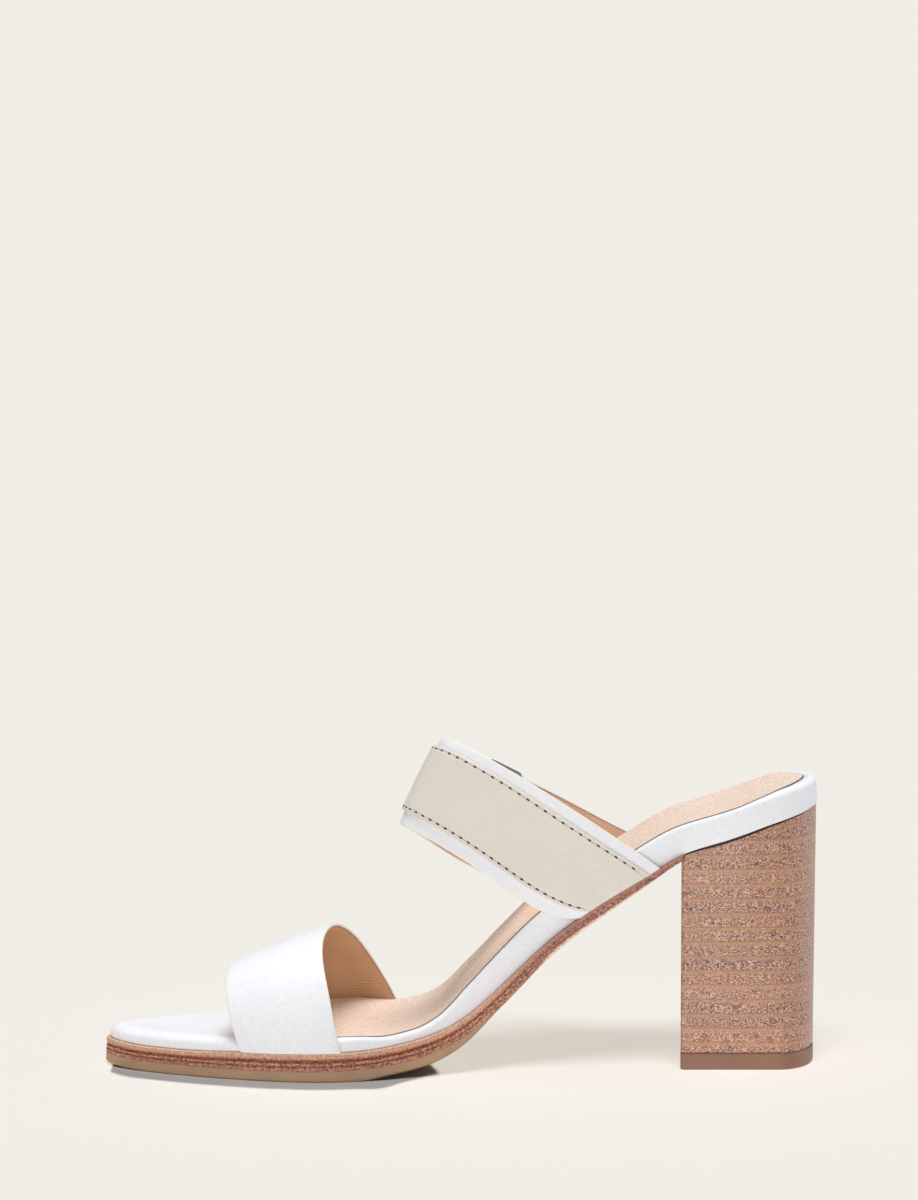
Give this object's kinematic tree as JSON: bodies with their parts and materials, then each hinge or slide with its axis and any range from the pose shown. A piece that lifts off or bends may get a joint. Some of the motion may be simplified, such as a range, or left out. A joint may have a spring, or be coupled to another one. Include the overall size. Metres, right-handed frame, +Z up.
{
  "type": "slide sandal",
  "caption": "Heeled slide sandal: open toe, leather straps over toes and instep, side buckle, shaped foot bed and stacked block heel; the right shoe of a pair.",
  "frame": {"origin": "on the ground, under the middle of the shoe's length and width", "axes": "+Z up, the toe towards -X and the heel towards +X, the inner side of the foot towards -Y"},
  "size_m": [0.23, 0.0793, 0.1048],
  "materials": {
    "white_leather": "smooth white leather, satin",
    "beige_leather": "fine-grained beige leather, satin",
    "sock_leather": "peach lining leather, dull",
    "stacked_leather": "stacked brown composition, waxed edge",
    "heel_stack": "stacked light brown composition, waxed edge",
    "waist_leather": "light tan sole leather",
    "rubber": "light brown sole rubber, dull",
    "top_piece": "brown top-piece rubber, dull",
    "steel": "polished buckle wire"
  },
  "bodies": {
    "root": {"outsole": "rubber", "midsole": "stacked_leather", "waist_sole": "waist_leather", "footbed": "white_leather", "insole": "sock_leather", "heel": "heel_stack", "top_piece": "top_piece", "front_strap": "white_leather", "instep_strap": "white_leather", "instep_band": "beige_leather", "buckle_tab": "beige_leather", "buckle_frame": "steel", "buckle_prong": "steel"}
  },
  "joints": []
}
